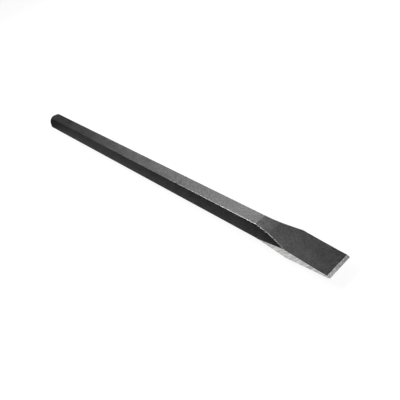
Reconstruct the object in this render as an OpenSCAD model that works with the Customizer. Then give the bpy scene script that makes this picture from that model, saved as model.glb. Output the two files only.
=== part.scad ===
// A long cold chisel, forged in one piece from hexagonal tool steel.
// It lies on one of its six flats. +X runs along the bar to the cutting edge and +Z is up.
// The origin is on the surface that the bar lies on, under the middle of its length.
// Sizes are in millimetres and angles in degrees.

/* [Bar] */
// Width of the hexagonal bar, from one flat to the opposite flat
bar_across_flats = 19.05; // [16:0.05:25.4]
// Length of the whole chisel, from the struck end to the cutting edge
total_length = 457.2; // [250:0.1:610]

/* [Blade] */
// Length of the forged blade, from the crease across the flats to the cutting edge
blade_length = 74.3; // [60:0.1:110]
// How much wider the blade is, between its ground flanks, than the bar is across its corners
blade_gain = 0.2; // [0.1:0.05:3]
// Thickness of the blade where the two cutting bevels begin
bevel_thickness = 2.9; // [1.5:0.05:4]
// Angle between the two cutting bevels
edge_angle = 60; // [50:1:70]
// Depth of the shallow hollow that is ground along each broad face
face_hollow = 0.55; // [0.2:0.05:1.2]
// Distance past the crease at which the hollow begins
hollow_start = 14; // [4:0.5:25]
// Distance past the crease at which the four side facets begin to spread
spread_start = 5; // [2:0.1:12]
// Angle at which each side facet spreads away from the axis
spread_angle = 5.8; // [4:0.1:8]

/* [Struck end] */
// Diameter of the flat face that the hammer strikes
struck_face_diameter = 16; // [12:0.1:18]
// Angle between the chamfer around the struck end and the axis
crown_angle = 21; // [15:1:45]

/* [Hidden] */

// Distance from the axis to each flat, and to each corner, of the bar
flat_distance = bar_across_flats / 2;
corner_distance = flat_distance / cos(30);
// Distance between the two ground flanks, which is also the width of the cut
blade_width = 2 * corner_distance + blade_gain;
// Places along X
struck_x = -total_length / 2;
edge_x = total_length / 2;
crease_x = edge_x - blade_length;
spread_x = crease_x + spread_start;
// The broad faces run from the crease to the bevels, and the bevels on to the edge
bevel_length = bevel_thickness / 2 / tan(edge_angle / 2);
face_length = blade_length - bevel_length;
face_drop = flat_distance - bevel_thickness / 2;
face_slope = atan(face_drop / face_length);
bevel_x = edge_x - bevel_length;
// Each hollow is part of a large cylinder, with face_hollow as the arc's rise over its chord
hollow_x = crease_x + hollow_start;
hollow_height = flat_distance - hollow_start * tan(face_slope);
hollow_chord = (face_length - hollow_start) / cos(face_slope);
hollow_radius = pow(hollow_chord, 2) / (8 * face_hollow) + face_hollow / 2;
// Half-width of a cutting solid, beyond every surface of the chisel
reach = bar_across_flats * 2;

// One pair of opposite side facets, parallel along the bar and spreading along the blade
module facet_pair() {
    spread_rise = (edge_x - spread_x) * tan(spread_angle);
    upper = [
        [struck_x, flat_distance],
        [spread_x, flat_distance],
        [edge_x, flat_distance + spread_rise]
    ];
    lower = [for (i = [len(upper) - 1:-1:0]) [upper[i][0], -upper[i][1]]];
    rotate([90, 0, 0])
        linear_extrude(height = 2 * reach, center = true)
            polygon(concat(upper, lower));
}

// Bar with a corner to each side, trimmed by the ground flanks
module blank() {
    intersection() {
        cube([total_length, blade_width, 2 * reach], center = true);
        rotate([60, 0, 0]) facet_pair();
        rotate([-60, 0, 0]) facet_pair();
    }
}

// Outline seen from the side: the two flats, the two tapering faces and the two cutting bevels
module side_profile() {
    upper = [
        [struck_x, flat_distance],
        [crease_x, flat_distance],
        [bevel_x, bevel_thickness / 2]
    ];
    lower = [for (i = [len(upper) - 1:-1:0]) [upper[i][0], -upper[i][1]]];
    rotate([90, 0, 0])
        linear_extrude(height = 2 * reach, center = true)
            polygon(concat(upper, [[edge_x, 0]], lower));
}

// Cylinder that leaves the upper broad face slightly hollow
module face_hollower() {
    translate([hollow_x, 0, hollow_height])
        rotate([0, face_slope, 0])
            translate([hollow_chord / 2, 0, hollow_radius - face_hollow])
                rotate([90, 0, 0])
                    cylinder(r = hollow_radius, h = 2 * reach, center = true, $fn = 720);
}

// Round envelope that chamfers the six corners down to the struck face
module crown_envelope() {
    crown_length = (reach - struck_face_diameter / 2) / tan(crown_angle);
    translate([struck_x, 0, 0])
        rotate([0, 90, 0])
            rotate_extrude($fn = 96)
                polygon([
                    [0, 0],
                    [struck_face_diameter / 2, 0],
                    [reach, crown_length],
                    [reach, total_length],
                    [0, total_length]
                ]);
}

// The whole chisel: one forging, with no separate pieces
module chisel() {
    color([0.16, 0.16, 0.17])
        translate([0, 0, flat_distance])
            difference() {
                intersection() {
                    blank();
                    side_profile();
                    crown_envelope();
                }
                face_hollower();
                mirror([0, 0, 1]) face_hollower();
            }
}

chisel();
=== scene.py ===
"""Looks of a long cold chisel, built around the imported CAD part.

Lengths are in metres and angles in degrees.
"""
import math

import bmesh
import bpy
from mathutils import Matrix, Vector, noise


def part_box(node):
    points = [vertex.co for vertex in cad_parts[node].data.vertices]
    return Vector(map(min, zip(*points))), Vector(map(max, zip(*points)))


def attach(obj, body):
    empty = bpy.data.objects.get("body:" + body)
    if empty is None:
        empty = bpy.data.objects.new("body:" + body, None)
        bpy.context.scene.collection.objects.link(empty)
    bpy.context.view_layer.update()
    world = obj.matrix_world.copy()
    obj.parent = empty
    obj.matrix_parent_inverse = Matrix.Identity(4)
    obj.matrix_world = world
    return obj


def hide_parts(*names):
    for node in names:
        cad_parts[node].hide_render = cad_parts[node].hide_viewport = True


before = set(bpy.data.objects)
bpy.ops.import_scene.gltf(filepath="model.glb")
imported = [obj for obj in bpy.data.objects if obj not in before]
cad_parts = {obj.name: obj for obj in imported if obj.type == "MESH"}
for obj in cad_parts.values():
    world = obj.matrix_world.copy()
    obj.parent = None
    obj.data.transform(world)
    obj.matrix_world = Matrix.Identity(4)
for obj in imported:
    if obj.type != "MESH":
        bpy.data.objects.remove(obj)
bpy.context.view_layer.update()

# The chisel's driving sizes. The bar, the length and the blade's width come from the CAD node,
# and the others repeat the CAD source.
LOW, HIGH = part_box("chisel")
FLAT = (HIGH.z - LOW.z) / 2
HALF_BLADE = HIGH.y
STRUCK_X = LOW.x
EDGE_X = HIGH.x
BLADE_LENGTH = 0.0743
BEVEL_THICKNESS = 0.0029
EDGE_ANGLE = 60.0
FACE_HOLLOW = 0.00055
HOLLOW_START = 0.014
STRUCK_RADIUS = 0.008
CROWN_ANGLE = 21.0
COS30 = math.cos(math.radians(30))

# How the side facets spread along the blade, where the CAD has one plane for each. Next to the
# side corners they spread straight, after a short blend, and next to the broad faces in an arc.
SPREAD_START = 0.0028
SPREAD_SLOPE = 0.089
SPREAD_BLEND = 0.0025
FLARE_RADIUS = 0.205

# Rounding radii: the bar's long edges, the blade's long edges, the edges of the ground flanks,
# the struck end's rim, and the arcs where the crown cuts the flats
BAR_ROUND = 0.00042
BLADE_ROUND = 0.00018
FLANK_ROUND = 0.00012
RIM_ROUND = 0.0004
CROWN_BLEND = 0.0002
# Share of the blade's length over which its rounding shrinks, and its limit as a share of the half thickness
ROUND_FADE = 0.45
ROUND_LIMIT = 0.45

# Half the height of the narrow land at the cutting edge
EDGE_LAND = 0.00004
# The grinder left each bevel as two flats. They meet at this share of its length, raised by this much.
BEVEL_KNEE = 0.35
KNEE_RISE = 0.0001

# Places worked out from those sizes
CREASE_X = EDGE_X - BLADE_LENGTH
SPREAD_X = CREASE_X + SPREAD_START
BEVEL_SLOPE = math.tan(math.radians(EDGE_ANGLE / 2))
BEVEL_LENGTH = BEVEL_THICKNESS / 2 / BEVEL_SLOPE
BEVEL_X = EDGE_X - BEVEL_LENGTH
FACE_DROP = FLAT - BEVEL_THICKNESS / 2
FACE_LENGTH = BEVEL_X - CREASE_X

# Camera: where it stands, the point of the bar that it looks at, and how far it leans
CAMERA_PLACE = (0.40408, -0.15941, 0.29459)
CAMERA_AIM = (0.07913, -0.00437, 0.00953)
CAMERA_ROLL = -24.63
CAMERA_LENS = 46.393


def face_height(x):
    """Half the thickness of the chisel at x, before its edges are rounded."""
    if x <= CREASE_X:
        return FLAT
    plane = FLAT - FACE_DROP * (x - CREASE_X) / FACE_LENGTH
    share = (x - CREASE_X - HOLLOW_START) / (FACE_LENGTH - HOLLOW_START)
    hollow = plane - FACE_HOLLOW * max(0.0, 4 * share * (1 - share))
    along = max(0.0, (x - BEVEL_X) / BEVEL_LENGTH)
    rise = KNEE_RISE * min(along / BEVEL_KNEE, (1 - along) / (1 - BEVEL_KNEE))
    bevel = (EDGE_X - x) * BEVEL_SLOPE + EDGE_LAND + rise
    return min(hollow, bevel)


def corner_distance(x):
    """Distance from the axis to the side facets at x, next to the side corners: a straight spread."""
    past = x - SPREAD_X
    if past <= -SPREAD_BLEND:
        return FLAT
    if past >= SPREAD_BLEND:
        return FLAT + past * SPREAD_SLOPE
    return FLAT + (past + SPREAD_BLEND) ** 2 / (4 * SPREAD_BLEND) * SPREAD_SLOPE


def flare_distance(x):
    """Distance from the axis to the side facets at x, next to the broad faces: a slower, curved spread."""
    past = max(0.0, x - CREASE_X)
    return FLAT + past * past / (2 * FLARE_RADIUS)


def edge_round(x):
    """Rounding radius of the long edges at x."""
    share = min(1.0, max(0.0, (x - CREASE_X) / (ROUND_FADE * BLADE_LENGTH)))
    radius = BAR_ROUND + (BLADE_ROUND - BAR_ROUND) * share
    return min(radius, ROUND_LIMIT * face_height(x))


def corner_round(x):
    """Rounding radius of the side corners at x, which grinding leaves crisp along the flanks."""
    share = min(1.0, max(0.0, (SPREAD_X - x) / (2 * SPREAD_BLEND)))
    return min(edge_round(x), FLANK_ROUND + (BAR_ROUND - FLANK_ROUND) * share)


# Spacing of the sections along the crown's chamfer, the bar, the blade and the bevels
CHAMFER_STEP = 0.00026
BAR_STEP = 0.0025
BLADE_STEP = 0.0007
BEVEL_STEP = 0.0002
# Steps round the rim of the struck end
RIM_STEPS = 6
# Sections added close to the crease, and just before the bevels, as moves along X
NEAR_CREASE = (-0.0002, 0.0, 0.0002, 0.0008)
BAR_STOP = 0.0006
BLADE_STOPS = (0.0008, 0.0004, 0.0001)


def spaced(start, end, step):
    """Evenly spaced places after start, up to and including end."""
    count = max(1, round((end - start) / step))
    return [start + (end - start) * i / count for i in range(1, count + 1)]


def crown_stations():
    """(x, radius) pairs of the round envelope at the struck end: a rounded rim and then the chamfer."""
    cone = math.radians(CROWN_ANGLE)
    rim_x = STRUCK_X + RIM_ROUND
    rim_radius = STRUCK_RADIUS + RIM_ROUND * math.tan(cone) - RIM_ROUND / math.cos(cone)
    turns = [(math.pi / 2 - cone) * i / RIM_STEPS for i in range(RIM_STEPS + 1)]
    rim = [(rim_x - RIM_ROUND * math.cos(a), rim_radius + RIM_ROUND * math.sin(a)) for a in turns]
    corner_radius = FLAT / COS30 + 2 * CROWN_BLEND
    end_x = STRUCK_X + (corner_radius - STRUCK_RADIUS) / math.tan(cone)
    chamfer = spaced(rim[-1][0], end_x, CHAMFER_STEP)
    return rim + [(x, STRUCK_RADIUS + (x - STRUCK_X) * math.tan(cone)) for x in chamfer]


def stations():
    """(x, crown radius or None) for every section along the chisel."""
    crown = crown_stations()
    bar = spaced(crown[-1][0], CREASE_X - BAR_STOP, BAR_STEP)
    near_crease = [CREASE_X + move for move in NEAR_CREASE]
    blade = spaced(near_crease[-1], BEVEL_X - BLADE_STOPS[0], BLADE_STEP)
    blade += [BEVEL_X - stop for stop in BLADE_STOPS[1:]]
    knee_x = BEVEL_X + BEVEL_KNEE * BEVEL_LENGTH
    bevel = [BEVEL_X] + spaced(BEVEL_X, knee_x, BEVEL_STEP) + spaced(knee_x, EDGE_X, BEVEL_STEP)
    return crown + [(x, None) for x in bar + near_crease + blade + bevel]


# Where the points of a section lie along each of its three edges, crowded towards the corners
FLAT_STEPS = (0.0, 0.14, 0.28, 0.42, 0.55, 0.67, 0.78, 0.87, 0.94, 0.98, 1.0)
FACET_STEPS = (0.0, 0.02, 0.06, 0.13, 0.22, 0.33, 0.45, 0.57, 0.69, 0.80, 0.89, 0.95, 0.985, 1.0)
FLANK_STEPS = (0.0, 0.03, 0.12, 0.3, 0.55, 0.78, 1.0)
ARC_STEPS = 5
# Kinds of strip round a section, from the middle of the flat to the side
ON_FLAT, ON_EDGE, ON_FACET, ON_CORNER, ON_FLANK = range(5)


def clip_to_crown(y, z, radius):
    """Pulls a point in to the round envelope, with a small blend where the two surfaces meet."""
    if radius is None:
        return y, z
    far = math.hypot(y, z)
    gap = far - radius
    inside = (gap + math.sqrt(gap * gap + CROWN_BLEND ** 2)) / 2
    scale = (far - inside) / far
    return y * scale, z * scale


def quarter(x, crown):
    """One quarter of the section at x, from mid-flat to the side, with each strip's kind."""
    edge, corner = edge_round(x), corner_round(x)
    top, side = face_height(x) - edge, HALF_BLADE - corner
    upper_y = min((flare_distance(x) - edge - 0.5 * top) / COS30, HALF_BLADE - edge)
    lower_y, lower_z = side, 2 * (corner_distance(x) - corner - COS30 * side)
    if upper_y + edge >= HALF_BLADE:
        lower_z = top + (edge - corner) * 0.5
    elif lower_z <= 0:
        lower_y, lower_z = (corner_distance(x) - corner) / COS30, 0.0
    points = [(upper_y * s, top + edge) for s in FLAT_STEPS]
    for i in range(1, ARC_STEPS + 1):
        a = math.radians(90 - 60 * i / ARC_STEPS)
        points.append((upper_y + edge * math.cos(a), top + edge * math.sin(a)))
    start, end = points[-1], (lower_y + corner * COS30, lower_z + corner * 0.5)
    run, drop = end[0] - start[0], end[1] - start[1]
    points += [(start[0] + run * s, start[1] + drop * s) for s in FACET_STEPS[1:]]
    for i in range(1, ARC_STEPS + 1):
        a = math.radians(30 - 30 * i / ARC_STEPS)
        points.append((lower_y + corner * math.cos(a), lower_z + corner * math.sin(a)))
    points += [(lower_y + corner, lower_z * (1 - s)) for s in FLANK_STEPS[1:]]
    kinds = [ON_FLAT] * (len(FLAT_STEPS) - 1) + [ON_EDGE] * ARC_STEPS + [ON_FACET] * (len(FACET_STEPS) - 1)
    kinds += [ON_CORNER] * ARC_STEPS + [ON_FLANK] * (len(FLANK_STEPS) - 1)
    return [clip_to_crown(y, z, crown) for y, z in points], kinds


def section(x, crown):
    """The whole section at x as a loop of points round the axis, with each strip's kind."""
    points, kinds = quarter(x, crown)
    loop = points[:-1]
    loop += [(y, -z) for y, z in points[:0:-1]]
    loop += [(-y, -z) for y, z in points[:-1]]
    loop += [(-y, z) for y, z in points[:0:-1]]
    return loop, kinds + kinds[::-1] + kinds + kinds[::-1]


# The long edges carry a painted highlight, partly real wear of the skin, from none at one place along X to
# full at the other
HIGHLIGHT_AND_WEAR_START = -0.14
HIGHLIGHT_AND_WEAR_FULL = 0.13
# How far from a ground surface a painted shade line darkens the skin
SHADE_LINE_WIDTH = 0.0009
# The unevenness of the forging: waves per metre along and across, and depths of the coarse and fine waves
WAVES_ALONG = 26
WAVES_ACROSS = 60
FINE_WAVES = 4.3
FINE_SHIFT = (7.0, 3.0, 5.0)
COARSE_DEPTH = 0.00005
FINE_DEPTH = 0.000012


def arc_middle(k, kinds, wanted):
    """1 for the middle point of the wanted arc of a quarter, falling to 0 at the arc's two ends."""
    return min(1.0, max(0.0, 2 - 2 * abs(2 * (k - kinds.index(wanted)) / ARC_STEPS - 1)))


def edge_tone(x, y, k, kinds):
    """How one point departs from the plain skin: up to 1 for the painted edge highlight, which is partly real
    wear, and down to -1 for the painted shade line.
    """
    to_bevel = BEVEL_X - x
    # Painted shade line along the bevels, and past the scoop along the flanks
    shade_line = max(0.0, 1 - to_bevel / SHADE_LINE_WIDTH)
    past_scoop = (flare_distance(x) - 0.5 * face_height(x)) / COS30 >= HALF_BLADE
    if past_scoop:
        shade_line = max(shade_line, 1 - (HALF_BLADE - y) / SHADE_LINE_WIDTH)
        return -shade_line
    # Painted highlight on the long edges, partly real wear, growing along X towards the blade
    highlight_and_wear = min(1.0, max(0.0, (x - HIGHLIGHT_AND_WEAR_START) / (HIGHLIGHT_AND_WEAR_FULL - HIGHLIGHT_AND_WEAR_START)))
    return highlight_and_wear * arc_middle(k, kinds, ON_EDGE) - shade_line


def edge_tones(x, crown):
    """The painted edge highlight, partly real wear, and painted shade line of the points round the section at
    x, in the order of its loop.
    """
    points, kinds = quarter(x, crown)
    tones = [edge_tone(x, y, k, kinds) for k, (y, _) in enumerate(points)]
    return tones[:-1] + tones[:0:-1] + tones[:-1] + tones[:0:-1]


def forged(x, y, z):
    """The slight unevenness that rolling and forging leave, as an inward move of the surface."""
    place = Vector((x * WAVES_ALONG, y * WAVES_ACROSS, z * WAVES_ACROSS))
    coarse = noise.noise(place) * 0.5 + 0.5
    fine = noise.noise(place * FINE_WAVES + Vector(FINE_SHIFT)) * 0.5 + 0.5
    return COARSE_DEPTH * coarse + FINE_DEPTH * fine


# The materials, in the order of their slots on the mesh
SKIN, GROUND, STRUCK = range(3)
# Distance within which two places count as the same
SAME_PLACE = 1e-6
# Radii of the rings that close the struck end, as shares of its own
RING_SHARES = (0.93, 0.8, 0.62, 0.42, 0.2)


def strip_material(kind, x_start, x_end):
    """Which material a strip takes between two sections."""
    if x_start >= BEVEL_X - SAME_PLACE:
        return GROUND
    on_blade = x_end > SPREAD_X - SPREAD_BLEND
    if on_blade and kind in (ON_CORNER, ON_FLANK):
        return GROUND
    return SKIN


def close_struck_end(verts, faces, slots, count):
    """Closes the struck end with rings of faces down to its centre."""
    first = list(verts[:count])
    previous = list(range(count))
    for share in RING_SHARES:
        base = len(verts)
        verts += [(STRUCK_X, y * share, FLAT + (z - FLAT) * share) for _, y, z in first]
        for k in range(count):
            nxt = (k + 1) % count
            faces.append((previous[nxt], previous[k], base + k, base + nxt))
        previous = list(range(base, base + count))
    verts.append((STRUCK_X, 0.0, FLAT))
    faces += [(previous[(k + 1) % count], previous[k], len(verts) - 1) for k in range(count)]
    slots += [STRUCK] * (len(faces) - len(slots))


def close_cutting_edge(faces, slots, last, count):
    """Closes the cutting edge with a narrow strip from its upper to its lower side."""
    half = count // 2
    right = [last + k for k in range(half + 1)]
    left = [last + (count - k) % count for k in range(half + 1)]
    for k in range(count // 4):
        faces.append((right[k], right[k + 1], right[half - k - 1], right[half - k]))
        faces.append((left[half - k], left[half - k - 1], left[k + 1], left[k]))
    slots += [GROUND] * (len(faces) - len(slots))


def chisel_mesh():
    """The whole chisel as one closed mesh, with a tone for each point: its painted edge highlight, partly
    real wear, and its painted shade line.
    """
    verts, faces, slots, tones = [], [], [], []
    places = stations()
    for x, crown in places:
        loop, kinds = section(x, crown)
        tones += edge_tones(x, crown)
        for (y, z), kind in zip(loop, kinds):
            far = math.hypot(y, z)
            move = forged(x, y, z) if strip_material(kind, x, x) == SKIN else 0.0
            verts.append((x, y * (far - move) / far, z * (far - move) / far + FLAT))
    count = len(kinds)
    for i in range(len(places) - 1):
        for k in range(count):
            nxt = (k + 1) % count
            faces.append((i * count + k, i * count + nxt, (i + 1) * count + nxt, (i + 1) * count + k))
            slots.append(strip_material(kinds[k], places[i][0], places[i + 1][0]))
    last = (len(places) - 1) * count
    close_struck_end(verts, faces, slots, count)
    close_cutting_edge(faces, slots, last, count)
    mesh = bpy.data.meshes.new("cold_chisel")
    mesh.from_pydata(verts, [], faces)
    for polygon, index in zip(mesh.polygons, slots):
        polygon.material_index = index
    tone = mesh.attributes.new("edge_tone", "FLOAT", "POINT")
    tones += [0.0] * (len(verts) - len(tones))
    tone.data.foreach_set("value", tones)
    return mesh


def is_sharp(edge):
    """Whether an edge is a true corner: at the crease or a bevel, or where the finish changes."""
    if len(edge.link_faces) != 2:
        return True
    for corner_x in (CREASE_X, BEVEL_X, EDGE_X):
        if all(abs(v.co.x - corner_x) < SAME_PLACE for v in edge.verts):
            return True
    return edge.link_faces[0].material_index != edge.link_faces[1].material_index


def build_chisel():
    """The chisel as one object, welded, with smooth shading between its true corners."""
    mesh = chisel_mesh()
    bm = bmesh.new()
    bm.from_mesh(mesh)
    bmesh.ops.remove_doubles(bm, verts=bm.verts, dist=2e-7)
    bmesh.ops.dissolve_degenerate(bm, dist=1e-7, edges=bm.edges)
    bmesh.ops.recalc_face_normals(bm, faces=bm.faces)
    for face in bm.faces:
        face.smooth = True
    for edge in bm.edges:
        edge.smooth = not is_sharp(edge)
    bm.to_mesh(mesh)
    bm.free()
    chisel = bpy.data.objects.new("cold_chisel", mesh)
    bpy.context.scene.collection.objects.link(chisel)
    return chisel


class Nodes:
    """A short way to add and join shader nodes."""

    def __init__(self, tree):
        self.tree = tree

    def add(self, kind, **values):
        """Adds a node. A value is set on the socket or the property of that name, and an output is joined."""
        node = self.tree.nodes.new(kind)
        for name, value in values.items():
            socket = node.inputs.get(name.replace("_", " ").title()) or node.inputs.get(name)
            if isinstance(value, bpy.types.NodeSocket):
                self.tree.links.new(value, socket)
            elif socket is not None:
                socket.default_value = value
            else:
                setattr(node, name, value)
        return node

    def place(self, turn=(0, 0, 0)):
        """A point's place on the object in metres, turned by the angles given."""
        coordinates = self.add("ShaderNodeTexCoord").outputs["Object"]
        mapping = self.add("ShaderNodeMapping", vector_type="POINT", Vector=coordinates)
        mapping.inputs["Rotation"].default_value = [math.radians(a) for a in turn]
        return mapping.outputs["Vector"]

    def speckle(self, place, size, detail=2.0, roughness=0.5):
        """Noise from 0 to 1 whose marks have the size given, in metres along each axis."""
        scaled = self.add("ShaderNodeVectorMath", operation="DIVIDE")
        self.tree.links.new(place, scaled.inputs[0])
        scaled.inputs[1].default_value = size
        node = self.add("ShaderNodeTexNoise", Vector=scaled.outputs["Vector"], Scale=1.0, Detail=detail)
        node.inputs["Roughness"].default_value = roughness
        return node.outputs["Fac"]

    def ramp(self, value, low, high, new_low=0.0, new_high=1.0):
        """Maps low..high to new_low..new_high, and holds the ends."""
        node = self.add("ShaderNodeMapRange", Value=value)
        node.inputs["From Min"].default_value = low
        node.inputs["From Max"].default_value = high
        node.inputs["To Min"].default_value = new_low
        node.inputs["To Max"].default_value = new_high
        return node.outputs["Result"]

    def calc(self, operation, *values):
        """One step of arithmetic on outputs or numbers."""
        node = self.add("ShaderNodeMath", operation=operation)
        for socket, value in zip(node.inputs, values):
            if isinstance(value, (int, float)):
                socket.default_value = value
            else:
                self.tree.links.new(value, socket)
        return node.outputs["Value"]

    def blend(self, share, first, second):
        """Mixes two colours, each an output or a grey or colour tuple."""
        node = self.add("ShaderNodeMix", data_type="RGBA")
        self.tree.links.new(share, node.inputs[0])
        for socket, value in ((node.inputs[6], first), (node.inputs[7], second)):
            if isinstance(value, tuple):
                socket.default_value = (*value, 1.0)
            else:
                self.tree.links.new(value, socket)
        return node.outputs[2]

    def bump(self, height, depth, below=None):
        """Surface relief of the depth given, in metres, for a height from 0 to 1."""
        node = self.add("ShaderNodeBump", Height=height)
        node.inputs["Strength"].default_value = 1.0
        node.inputs["Distance"].default_value = depth
        if below is not None:
            self.tree.links.new(below, node.inputs["Normal"])
        return node.outputs["Normal"]

    def join(self, output, target):
        """Joins an output to a socket."""
        self.tree.links.new(output, target)


def new_material(name):
    """A new material with its nodes and its shader."""
    material = bpy.data.materials.new(name)
    material.use_nodes = True
    shader = next(n for n in material.node_tree.nodes if n.type == "BSDF_PRINCIPLED")
    return material, Nodes(material.node_tree), shader


# Black oxide: its two greys, the bright steel grey of the painted edge highlight, which is partly real wear,
# and its gloss
SKIN_DARK = (0.0045, 0.0046, 0.0048)
SKIN_LIGHT = (0.0115, 0.0115, 0.0117)
HIGHLIGHT_AND_WEAR_GREY = (0.62, 0.62, 0.61)
SKIN_IOR = 2.5
SKIN_ROUGHNESS = 0.36
# Sizes of its marks, each with the depth of its relief
GRAIN, GRAIN_DEPTH = 0.0003, 0.000007
GRIT, GRIT_DEPTH = 0.0009, 0.00004
MOTTLE, MOTTLE_DEPTH = 0.007, 0.00012
STREAK, STREAK_DEPTH = (0.0014, 0.02, 0.02), 0.00002
PATCH = 0.05
# How each kind of mark is spread: the range of its noise, and what that range becomes.
# Pores, scale and streaks become a metallic share, which dulls the dark skin's reflection.
PATCHES = (0.42, 0.58)
GREYS = (0.38, 0.62)
BROKEN = (0.3, 0.6, 0.6, 1.0)
PORES = (0.38, 0.62, 0.0, 0.45)
SCALE = (0.4, 0.6, 0.0, 0.22)
STREAKS = (0.4, 0.6, 0.0, 0.08)
GRIT_ROUGH = (0.3, 0.7, -0.04, 0.04)
MOTTLE_ROUGH = (0.3, 0.7, -0.05, 0.05)
# Forging scale is only on the blade: it starts over this length at the crease and thins to this share
SCALE_BLEND = 0.0002
SCALE_END_X = CREASE_X + 0.03
SCALE_LEFT = 0.3


def black_oxide():
    """Satin black oxide over a rolled and forged bar, with a painted highlight, partly real wear, on the
    edges that stand out most, and a painted shade line next to the ground surfaces.
    """
    material, nodes, shader = new_material("black_oxide_steel")
    place = nodes.place()
    grain = nodes.speckle(place, (GRAIN, GRAIN, GRAIN), 3.0)
    grit = nodes.speckle(place, (GRIT, GRIT, GRIT), 3.0, 0.6)
    mottle = nodes.speckle(place, (MOTTLE, MOTTLE, MOTTLE), 5.0, 0.6)
    patches = nodes.ramp(nodes.speckle(place, (PATCH, PATCH, PATCH), 1.0), *PATCHES)
    streak = nodes.calc("MULTIPLY", nodes.speckle(place, STREAK, 2.0), patches)
    tone = nodes.add("ShaderNodeAttribute", attribute_name="edge_tone").outputs["Fac"]
    broken = nodes.ramp(grit, *BROKEN)
    # Painted edge highlight, partly real wear: a bright steel grey in the colour and a metallic share
    highlight_and_wear_share = nodes.calc("MULTIPLY", nodes.calc("MAXIMUM", tone, 0.0), broken)
    cloud = nodes.calc("ADD", nodes.calc("MULTIPLY", grit, 0.5), nodes.calc("MULTIPLY", mottle, 0.5))
    colour = nodes.blend(nodes.ramp(cloud, *GREYS), SKIN_DARK, SKIN_LIGHT)
    nodes.join(nodes.blend(highlight_and_wear_share, colour, HIGHLIGHT_AND_WEAR_GREY), shader.inputs["Base Color"])
    split = nodes.add("ShaderNodeSeparateXYZ", Vector=place)
    thinning = nodes.ramp(split.outputs["X"], CREASE_X, SCALE_END_X, 1.0, SCALE_LEFT)
    on_blade = nodes.ramp(split.outputs["X"], CREASE_X - SCALE_BLEND, CREASE_X)
    spread = nodes.calc("MULTIPLY", thinning, on_blade)
    scale = nodes.calc("MULTIPLY", nodes.ramp(mottle, *SCALE), spread)
    pores = nodes.calc("ADD", nodes.ramp(grit, *PORES), scale)
    marks = nodes.calc("ADD", pores, nodes.ramp(streak, *STREAKS))
    # The painted shade line comes in as a metallic share, which darkens the skin's reflection
    plain = nodes.calc("MAXIMUM", marks, nodes.calc("MULTIPLY", tone, -1.0))
    nodes.join(nodes.calc("MAXIMUM", plain, highlight_and_wear_share), shader.inputs["Metallic"])
    rough = nodes.calc("ADD", nodes.ramp(grit, *GRIT_ROUGH), nodes.ramp(mottle, *MOTTLE_ROUGH))
    nodes.join(nodes.calc("ADD", rough, SKIN_ROUGHNESS), shader.inputs["Roughness"])
    shader.inputs["IOR"].default_value = SKIN_IOR
    relief = nodes.bump(mottle, MOTTLE_DEPTH)
    relief = nodes.bump(streak, STREAK_DEPTH, relief)
    relief = nodes.bump(grit, GRIT_DEPTH, relief)
    relief = nodes.bump(grain, GRAIN_DEPTH, relief)
    nodes.join(relief, shader.inputs["Normal"])
    return material


# Ground steel: its two greys, its gloss, and the slope of the grinding lines on the flanks
STEEL_DARK = (0.28, 0.28, 0.28)
STEEL_LIGHT = (0.58, 0.58, 0.575)
STEEL_ROUGHNESS = (0.35, 0.25)
GRIND_SLOPE = 41.0
# Sizes of the coarse and fine grinding lines, along, across and through, and their depth
COARSE_LINE = (0.016, 0.0016, 0.0012)
FINE_LINE = (0.006, 0.0004, 0.0002)
COARSE_SHARE = 0.6
LINE_DEPTH = 0.00003
LINE_GREYS = (0.38, 0.58)
LINE_ROUGH = (0.3, 0.7)


def ground_steel():
    """Bare steel, ground on a belt: slanting lines on the flanks and lines across the bevels."""
    material, nodes, shader = new_material("ground_steel")
    place = nodes.place((0, GRIND_SLOPE, 0))
    coarse = nodes.calc("MULTIPLY", nodes.speckle(place, COARSE_LINE), COARSE_SHARE)
    fine = nodes.calc("MULTIPLY", nodes.speckle(place, FINE_LINE), 1 - COARSE_SHARE)
    lines = nodes.calc("ADD", coarse, fine)
    colour = nodes.blend(nodes.ramp(lines, *LINE_GREYS), STEEL_DARK, STEEL_LIGHT)
    nodes.join(colour, shader.inputs["Base Color"])
    shader.inputs["Metallic"].default_value = 1.0
    nodes.join(nodes.ramp(lines, *LINE_ROUGH, *STEEL_ROUGHNESS), shader.inputs["Roughness"])
    nodes.join(nodes.bump(lines, LINE_DEPTH), shader.inputs["Normal"])
    return material


# The turned rings of the struck face: their spacing and depth, and the face's noise ranges
RING_SPACING = 0.0004
RING_DEPTH = 0.000006
STRUCK_GREYS = (0.35, 0.65)
STRUCK_ROUGH = (0.3, 0.7, SKIN_ROUGHNESS - 0.04, SKIN_ROUGHNESS + 0.1)
STRUCK_GRIT_DEPTH = 0.00003


def struck_steel():
    """The struck face: black oxide over the rings that turning left."""
    material, nodes, shader = new_material("struck_face_steel")
    place = nodes.place()
    split = nodes.add("ShaderNodeSeparateXYZ", Vector=place)
    across = split.outputs["Y"]
    up = nodes.calc("SUBTRACT", split.outputs["Z"], FLAT)
    squares = nodes.calc("ADD", nodes.calc("MULTIPLY", across, across), nodes.calc("MULTIPLY", up, up))
    turns = nodes.calc("MULTIPLY", nodes.calc("SQRT", squares), 2 * math.pi / RING_SPACING)
    rings = nodes.calc("SINE", turns)
    grit = nodes.speckle(place, (GRIT, GRIT, GRIT), 4.0, 0.65)
    colour = nodes.blend(nodes.ramp(grit, *STRUCK_GREYS), SKIN_DARK, SKIN_LIGHT)
    nodes.join(colour, shader.inputs["Base Color"])
    nodes.join(nodes.ramp(grit, *STRUCK_ROUGH), shader.inputs["Roughness"])
    shader.inputs["IOR"].default_value = SKIN_IOR
    relief = nodes.bump(nodes.ramp(rings, -1, 1), RING_DEPTH)
    nodes.join(nodes.bump(grit, STRUCK_GRIT_DEPTH, relief), shader.inputs["Normal"])
    return material


# The floor: its size, how much of its light is its own, and its grey. Its reflection in gloss is
# whole within a margin round the bar, and fades out over a further distance.
FLOOR_SIZE = 6.0
FLOOR_GLOW = 0.93
FLOOR_GREY = 0.16
SHEET_MARGIN = 0.02
SHEET_FADE = 0.03


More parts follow.
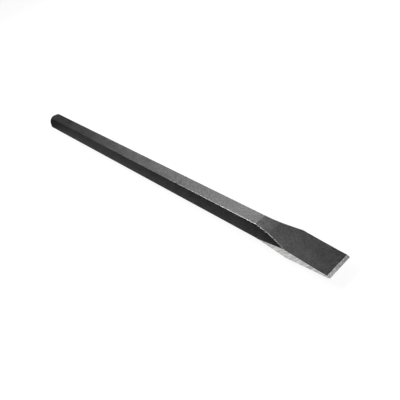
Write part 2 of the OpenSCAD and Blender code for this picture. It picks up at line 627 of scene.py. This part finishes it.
def floor_material():
    """A pale floor, softly lit from within, that only shows in gloss close to the bar."""
    material = bpy.data.materials.new("pale_floor")
    material.use_nodes = True
    nodes = Nodes(material.node_tree)
    material.node_tree.nodes.clear()
    split = nodes.add("ShaderNodeSeparateXYZ", Vector=nodes.place())
    past_side = nodes.calc("SUBTRACT", nodes.calc("ABSOLUTE", split.outputs["Y"]), HALF_BLADE + SHEET_MARGIN)
    past_end = nodes.calc("SUBTRACT", nodes.calc("ABSOLUTE", split.outputs["X"]), EDGE_X + SHEET_MARGIN)
    past = nodes.ramp(nodes.calc("MAXIMUM", past_side, past_end), 0.0, SHEET_FADE)
    hidden = nodes.calc("MULTIPLY", past, nodes.add("ShaderNodeLightPath").outputs["Is Glossy Ray"])
    glow = nodes.add("ShaderNodeEmission", Strength=FLOOR_GLOW)
    paint = nodes.add("ShaderNodeBsdfDiffuse")
    paint.inputs["Color"].default_value = (FLOOR_GREY, FLOOR_GREY, FLOOR_GREY, 1)
    lit = nodes.add("ShaderNodeAddShader")
    nodes.join(glow.outputs[0], lit.inputs[0])
    nodes.join(paint.outputs[0], lit.inputs[1])
    mix = nodes.add("ShaderNodeMixShader")
    nodes.join(hidden, mix.inputs[0])
    nodes.join(lit.outputs[0], mix.inputs[1])
    nodes.join(nodes.add("ShaderNodeBsdfTransparent").outputs[0], mix.inputs[2])
    nodes.join(mix.outputs[0], nodes.add("ShaderNodeOutputMaterial").inputs["Surface"])
    return material


def add_floor():
    """A plain pale floor."""
    corners = [(x * FLOOR_SIZE, y * FLOOR_SIZE, 0) for x, y in ((-1, -1), (1, -1), (1, 1), (-1, 1))]
    mesh = bpy.data.meshes.new("floor")
    mesh.from_pydata(corners, [], [(0, 1, 2, 3)])
    floor = bpy.data.objects.new("floor", mesh)
    bpy.context.scene.collection.objects.link(floor)
    mesh.materials.append(floor_material())
    return floor


# Soft lights: name, azimuth and elevation as seen from the bar, diameter, and radiance
LIGHT_DISTANCE = 0.9
SOFT_LIGHTS = (
    ("high_softbox", 157, 55, 0.36, 3.9),
    ("back_softbox", 135, 25, 0.36, 3.3),
    ("end_softbox", 150, 12, 0.36, 4.0),
    ("near_softbox", 202, 55, 0.36, 11.5),
    ("edge_softbox", 22, 55, 0.36, 2.7),
    ("top_softbox", 180, 72, 0.36, 0.7),
)


def soft_light(name, azimuth, elevation, diameter, radiance):
    """A round soft light that faces the bar."""
    lamp = bpy.data.lights.new(name, "AREA")
    lamp.shape = "DISK"
    lamp.size = diameter
    lamp.energy = radiance * math.pi * math.pi * diameter ** 2 / 4
    light = bpy.data.objects.new(name, lamp)
    bpy.context.scene.collection.objects.link(light)
    turn, rise = math.radians(azimuth), math.radians(elevation)
    out = Vector((math.cos(turn) * math.cos(rise), math.sin(turn) * math.cos(rise), math.sin(rise)))
    light.location = Vector((CREASE_X / 2, 0, FLAT)) + out * LIGHT_DISTANCE
    light.visible_camera = False
    light.rotation_mode = "QUATERNION"
    light.rotation_quaternion = out.to_track_quat("Z", "Y")
    return light


# Radiance of the backdrop for every ray that isn't the camera's
SURROUND = 0.03


def set_world():
    """A plain white backdrop that adds only a little light of its own."""
    world = bpy.data.worlds.new("studio")
    world.use_nodes = True
    nodes = Nodes(world.node_tree)
    background = next(n for n in world.node_tree.nodes if n.type == "BACKGROUND")
    background.inputs["Color"].default_value = (1, 1, 1, 1)
    seen = nodes.add("ShaderNodeLightPath").outputs["Is Camera Ray"]
    nodes.join(nodes.ramp(seen, 0.0, 1.0, SURROUND, 1.0), background.inputs["Strength"])
    bpy.context.scene.world = world


def add_camera():
    """A camera at the photograph's angle."""
    data = bpy.data.cameras.new("camera")
    data.lens = CAMERA_LENS
    data.sensor_width = 36
    data.clip_start = 0.01
    data.clip_end = 50
    camera = bpy.data.objects.new("camera", data)
    bpy.context.scene.collection.objects.link(camera)
    camera.location = CAMERA_PLACE
    look = (Vector(CAMERA_AIM) - camera.location).to_track_quat("-Z", "Y")
    camera.rotation_mode = "QUATERNION"
    camera.rotation_quaternion = look @ Matrix.Rotation(math.radians(CAMERA_ROLL), 3, "Z").to_quaternion()
    bpy.context.scene.camera = camera


bpy.context.scene.view_settings.view_transform = "Standard"
chisel = build_chisel()
for maker in (black_oxide, ground_steel, struck_steel):
    chisel.data.materials.append(maker())
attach(chisel, "root")
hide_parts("chisel")
add_floor()
set_world()
for light in SOFT_LIGHTS:
    soft_light(*light)
add_camera()
